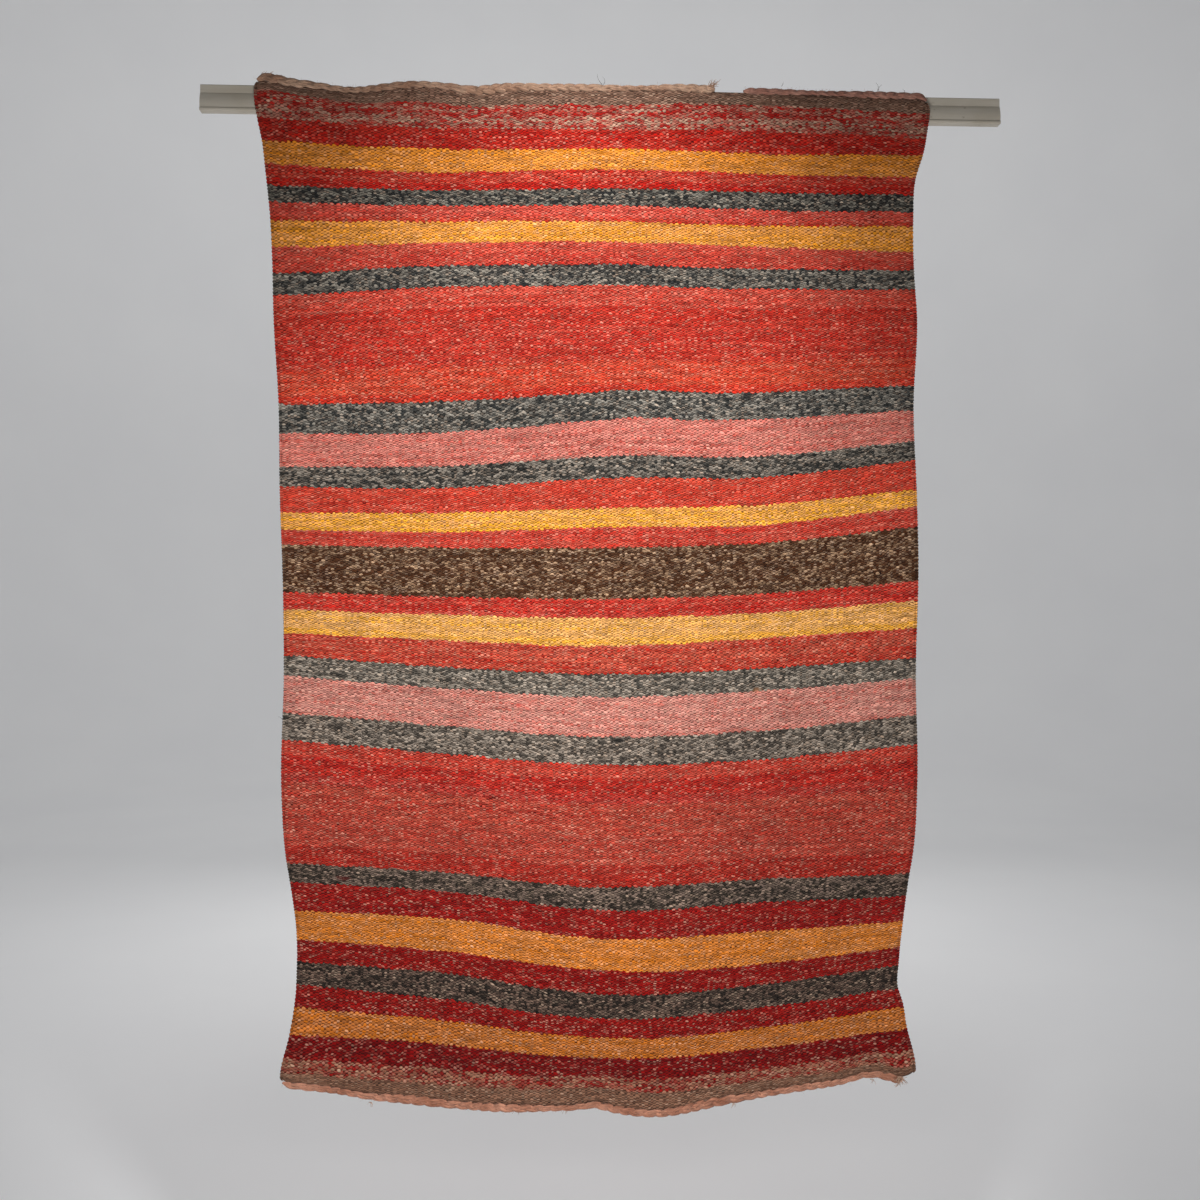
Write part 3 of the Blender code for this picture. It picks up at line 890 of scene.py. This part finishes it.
def paintedRail(material):
    bpy.ops.object.select_all(action="DESELECT")
    size = (rail["length"], rail["depth"], rail["height"])
    bpy.ops.mesh.primitive_cube_add(size=1, location=(0, -rail["depth"] / 2, 0), scale=size)
    piece = bpy.context.object
    piece.name = "paintedRail"
    bpy.ops.object.transform_apply(location=True, rotation=True, scale=True)
    bpy.ops.object.mode_set(mode="EDIT")
    for height, depth in rail["front"]:
        bpy.ops.mesh.select_all(action="SELECT")
        bpy.ops.mesh.bisect(plane_co=(0, 0, height), plane_no=(0, 0, 1))
    bpy.ops.mesh.select_all(action="DESELECT")
    bpy.ops.object.mode_set(mode="OBJECT")
    depths = {round(height, 4): depth for height, depth in rail["front"]}
    depths[round(rail["height"] / 2, 4)] = rail["topDepth"]
    depths[round(-rail["height"] / 2, 4)] = rail["footDepth"]
    for height, depth in depths.items():
        for vertex in piece.data.vertices:
            vertex.select = vertex.co.y < -0.001 and abs(vertex.co.z - height) < 0.00005
        bpy.ops.object.mode_set(mode="EDIT")
        bpy.ops.mesh.select_mode(type="VERT")
        bpy.ops.transform.translate(value=(0, rail["depth"] - depth, 0))
        bpy.ops.mesh.select_all(action="DESELECT")
        bpy.ops.object.mode_set(mode="OBJECT")
    bevel = piece.modifiers.new("softened", "BEVEL")
    bevel.width = rail["bevel"]
    bevel.segments = 2
    bevel.limit_method = "ANGLE"
    bevel.angle_limit = math.radians(50)
    bpy.ops.object.modifier_apply(modifier=bevel.name)
    bpy.ops.object.shade_smooth_by_angle(angle=math.radians(28))
    piece.data.materials.append(material)
    return piece


# Loose ends: frayed tufts, wiry hairs and fuzz


def fibre(pile, start, end, bend, radius, random):
    start, end = np.asarray(start, float), np.asarray(end, float)
    t = np.linspace(0, 1, 7)[:, None]
    path = start * (1 - t) + end * t + np.asarray(bend) * (4 * t * (1 - t))
    path = path + random.normal(0, 0.12 * radius, path.shape)
    thin = radius * (1.0 - 0.75 * t[:, 0])
    addTube(pile, path, thin, thin, 5)


# x, height, depth of the root, reach sideways and upwards, and bend, in mm
darkHairs = [
    (-7, 33, -24, -9, 19, -3),
    (-5, 33, -24, -2, 14, 4),
    (512, 31, -24, -4, 15, 3),
    (514, 31, -24, 6, 11, -2),
    (563, 27, -24, -4, 7, 2),
    (330, 36, -24, 3, 8, 1),
    (-602, -1150, -14, -7, 6, 2),
    (581, -287, -20, 6, 3, 1),
]


# tufts in metres: roots, fibres at each root and their radius, then the spread of the roots,
# or a ring of them, the reach and the bend, where a pair is a range to draw from
frays = {
    "plaitEnd": {
        "roots": [(0.196, -0.0222, 0.032)],
        "count": 26,
        "radius": 0.0007,
        "spread": ((-0.006, 0.006), 0.0, (-0.002, 0.003)),
        "reach": ((0.002, 0.017), (-0.004, 0.001), (0.002, 0.016)),
        "bend": (0.001, -0.001, (-0.002, 0.004)),
    },
    "bottomKnob": {
        "roots": [(0.558, -0.022, -1.836)],
        "count": 44,
        "radius": 0.0009,
        "ring": 0.004,
        "reach": ((-0.010, 0.012), (-0.003, 0.003), (-0.013, 0.002)),
        "bend": ((-0.003, 0.003), -0.002, 0.0),
    },
    "hem": {
        "roots": [
            (-0.078, -0.018, -1.884),
            (-0.17, -0.018, -1.883),
            (0.505, -0.018, -1.838),
            (-0.44, -0.018, -1.864),
            (0.24, -0.018, -1.878),
        ],
        "count": 5,
        "radius": 0.0005,
        "spread": ((-0.003, 0.003), 0.0, 0.0),
        "reach": ((-0.006, 0.008), -0.001, (-0.012, -0.004)),
        "bend": (0.002, 0.0, 0.001),
    },
    "curledCorner": {
        "roots": [(-0.628, -0.0222, 0.037)],
        "count": 12,
        "radius": 0.0007,
        "spread": ((-0.008, 0.008), 0.0, 0.0),
        "reach": ((-0.003, 0.010), -0.002, (0.004, 0.010)),
        "bend": (-0.002, 0.0, 0.0),
    },
}


def drawn(random, parts):
    return np.array([random.uniform(*part) if isinstance(part, tuple) else part for part in parts])


def addFray(pile, settings, random):
    for root in settings["roots"]:
        for k in range(settings["count"]):
            if "ring" in settings:
                turn = random.uniform(0, 2 * math.pi)
                spread = np.array((math.cos(turn), 0.0, math.sin(turn))) * settings["ring"]
            else:
                spread = drawn(random, settings["spread"])
            start = np.array(root) + spread
            end = start + drawn(random, settings["reach"])
            fibre(pile, start, end, drawn(random, settings["bend"]), settings["radius"], random)


def looseEnds(tan, dark):
    random = np.random.default_rng(5)
    hairs = newPile()
    for x, z, y, reach, rise, bend in darkHairs:
        start = np.array((x, y, z)) / 1000
        end = start + np.array((reach, -2.0, rise)) / 1000
        fibre(hairs, start, end, (bend / 1000, -0.001, 0.0), 0.00045, random)
    tufts = newPile()
    for settings in frays.values():
        addFray(tufts, settings, random)
    return pileMesh("darkHairs", hairs, dark), pileMesh("frayedTufts", tufts, tan)


fuzz = {"alongPlaits": 900, "length": 0.0045, "radius": 0.00016}


def plaitFuzz(material):
    random = np.random.default_rng(3)
    pile = newPile()
    for settings in plaits.values():
        path, out, along = endRoute(settings["end"], settings["from"], settings["to"], 0.001, 0.004)
        share = along[-1] / 2.4
        for k in random.integers(0, len(path), int(fuzz["alongPlaits"] * share)):
            lean = random.normal(0, 0.6)
            reach = out[k] * random.uniform(0.6, 1.5) + np.array((lean, random.uniform(-0.8, 0.2), 0.0))
            start = path[k] + out[k] * random.uniform(-0.002, 0.004) + np.array((0, -0.0012, 0))
            end = start + reach * fuzz["length"] * random.uniform(0.5, 1.3)
            t = np.linspace(0, 1, 3)[:, None]
            middle = np.array((random.normal(0, 0.001), 0.0, random.normal(0, 0.001)))
            line = start * (1 - t) + end * t + middle * (4 * t * (1 - t))
            addTube(pile, line, fuzz["radius"] * np.array((1.0, 0.8, 0.3)), fuzz["radius"], 3)
    return pileMesh("plaitFuzz", pile, material)


def plainYarn(name, colour):
    material, tree, shader = newMaterial(name)
    tone = fadeBetween(tree, noise(tree, objectPlace(tree), 300.0, 3.0), 0.3, 0.7)
    darker = tuple(channel * 0.7 for channel in colour)
    mixed = mixColour(tree, tone, linearColour(colour), linearColour(darker))
    feed(tree, shader.inputs["Base Color"], mixed)
    feed(tree, shader.inputs["Roughness"], calc(tree, "MULTIPLY_ADD", tone, 0.1, 0.85))
    return material


# Studio: a pale floor whose far rim turns up, soft lamps, and the camera

studio = {
    "floor": -2.35,
    "floorRadius": 7.0,
    "rimSteps": 8,
    "rimRadius": 3.0,
    "wallHeight": 6.0,
    "plaster": ((0.80, 0.80, 0.81, 1), (0.86, 0.86, 0.86, 1)),
    "sky": (0.93, 0.96, 1.0, 1.0),
    "world": 0.14,
    "camera": (-0.1256, -2.4525, -0.9094),
    "yaw": 2.7,
    "pitch": 0.44,
    "lens": 39.0,
}

lamps = [
    # name, place, aim, width, height, watts
    ("low", (-0.10, -1.45, -1.25), (-0.08, 0.0, -1.25), 0.5, 0.4, 18.0),
    ("front", (0.10, -3.60, -0.60), (0.0, 0.0, -0.90), 2.6, 2.2, 9.0),
    ("behind", (0.0, 3.4, 0.6), (0.0, 0.0, -0.90), 3.0, 3.0, 50.0),
    ("backdrop", (0.0, 3.0, 4.6), (0.0, 9.5, 0.0), 5.0, 2.0, 250.0),
]

# a soft pool of light from above the cloth, wider lower down
pool = {
    "place": (0.02, -0.95, 0.72),
    "aim": (-0.055, 0.0, -0.62),
    "watts": 112.0,
    "cone": 52.0,
    "softness": 0.09,
}


def hangLamp(light, place, aim):
    lamp = bpy.data.objects.new(light.name, light)
    bpy.context.scene.collection.objects.link(lamp)
    lamp.location = place
    direction = np.array(aim) - np.array(place)
    flat = math.hypot(direction[0], direction[1])
    lamp.rotation_euler = (math.atan2(flat, -direction[2]), 0.0, math.atan2(-direction[0], direction[1]))
    lamp.visible_camera = False


def buildStudio():
    bpy.ops.object.select_all(action="DESELECT")
    radius = studio["floorRadius"]
    middle = (0, 0, studio["floor"])
    bpy.ops.mesh.primitive_circle_add(vertices=96, radius=radius, fill_type="NGON", location=middle)
    floor = bpy.context.object
    floor.name = "paleFloor"
    bpy.ops.object.mode_set(mode="EDIT")
    bpy.ops.mesh.select_mode(type="EDGE")
    bpy.ops.mesh.select_all(action="SELECT")
    turn = math.pi / 2 / studio["rimSteps"]
    for step in range(studio["rimSteps"]):
        rise = studio["rimRadius"] * (math.cos(step * turn) - math.cos((step + 1) * turn))
        wider = radius + studio["rimRadius"] * (math.sin((step + 1) * turn) - math.sin(step * turn))
        bpy.ops.mesh.extrude_edges_move(TRANSFORM_OT_translate={"value": (0, 0, rise)})
        bpy.ops.transform.resize(value=(wider / radius, wider / radius, 1))
        radius = wider
    bpy.ops.mesh.extrude_edges_move(TRANSFORM_OT_translate={"value": (0, 0, studio["wallHeight"])})
    bpy.ops.object.mode_set(mode="OBJECT")
    bpy.ops.object.shade_smooth()
    material, tree, shader = newMaterial("palePlaster")
    tone = noise(tree, objectPlace(tree), 1.2, 3.0)
    feed(tree, shader.inputs["Base Color"], mixColour(tree, tone, *studio["plaster"]))
    shader.inputs["Roughness"].default_value = 0.9
    floor.data.materials.append(material)

    world = bpy.data.worlds.new("softSky")
    bpy.context.scene.world = world
    world.use_nodes = True
    background = world.node_tree.nodes["Background"]
    background.inputs[0].default_value = studio["sky"]
    background.inputs[1].default_value = studio["world"]

    for name, place, aim, width, height, watts in lamps:
        light = bpy.data.lights.new(name, "AREA")
        light.shape = "RECTANGLE"
        light.size = width
        light.size_y = height
        light.energy = watts
        hangLamp(light, place, aim)
    light = bpy.data.lights.new("pool", "SPOT")
    light.energy = pool["watts"]
    light.spot_size = math.radians(pool["cone"])
    light.spot_blend = 1.0
    light.shadow_soft_size = pool["softness"]
    hangLamp(light, pool["place"], pool["aim"])

    view = bpy.data.cameras.new("camera")
    view.sensor_width = 36.0
    view.lens = studio["lens"]
    camera = bpy.data.objects.new("camera", view)
    bpy.context.scene.collection.objects.link(camera)
    camera.location = studio["camera"]
    camera.rotation_euler = (math.radians(90 - studio["pitch"]), 0.0, math.radians(-studio["yaw"]))
    bpy.context.scene.camera = camera
    bpy.context.scene.view_settings.view_transform = "Standard"


buildStudio()
print("studio ready")

woolMaterial = bandedWool()
blanket = wovenBlanket(woolMaterial)
print("blanket woven,", len(blanket.data.polygons), "faces")

leftSelvage = selvageCord("selvageLeft", 0.0, woolMaterial)
rightSelvage = selvageCord("selvageRight", 1.0, woolMaterial)
print("selvages bound")

plaitPieces = []
for index, (name, settings) in enumerate(plaits.items()):
    piece = plait(name, settings, plaitYarn(name + "Yarn", settings["colour"]), 2 + index)
    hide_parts(settings["replaces"])
    plaitPieces.append(piece)
print("ends plaited")

tanYarn = plainYarn("frayedYarn", (200, 160, 134))
darkYarn = plainYarn("darkHair", (70, 52, 42))
hairs, tufts = looseEnds(tanYarn, darkYarn)
fuzzPiece = plaitFuzz(tanYarn)
print("loose ends added")

railPiece = paintedRail(creamPaint())
print("rail painted")

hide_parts("blanket")
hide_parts("wall_rail")
smallPieces = [leftSelvage, rightSelvage, *plaitPieces, hairs, tufts, fuzzPiece]
for piece in [blanket, railPiece, *smallPieces]:
    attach(piece, "root")
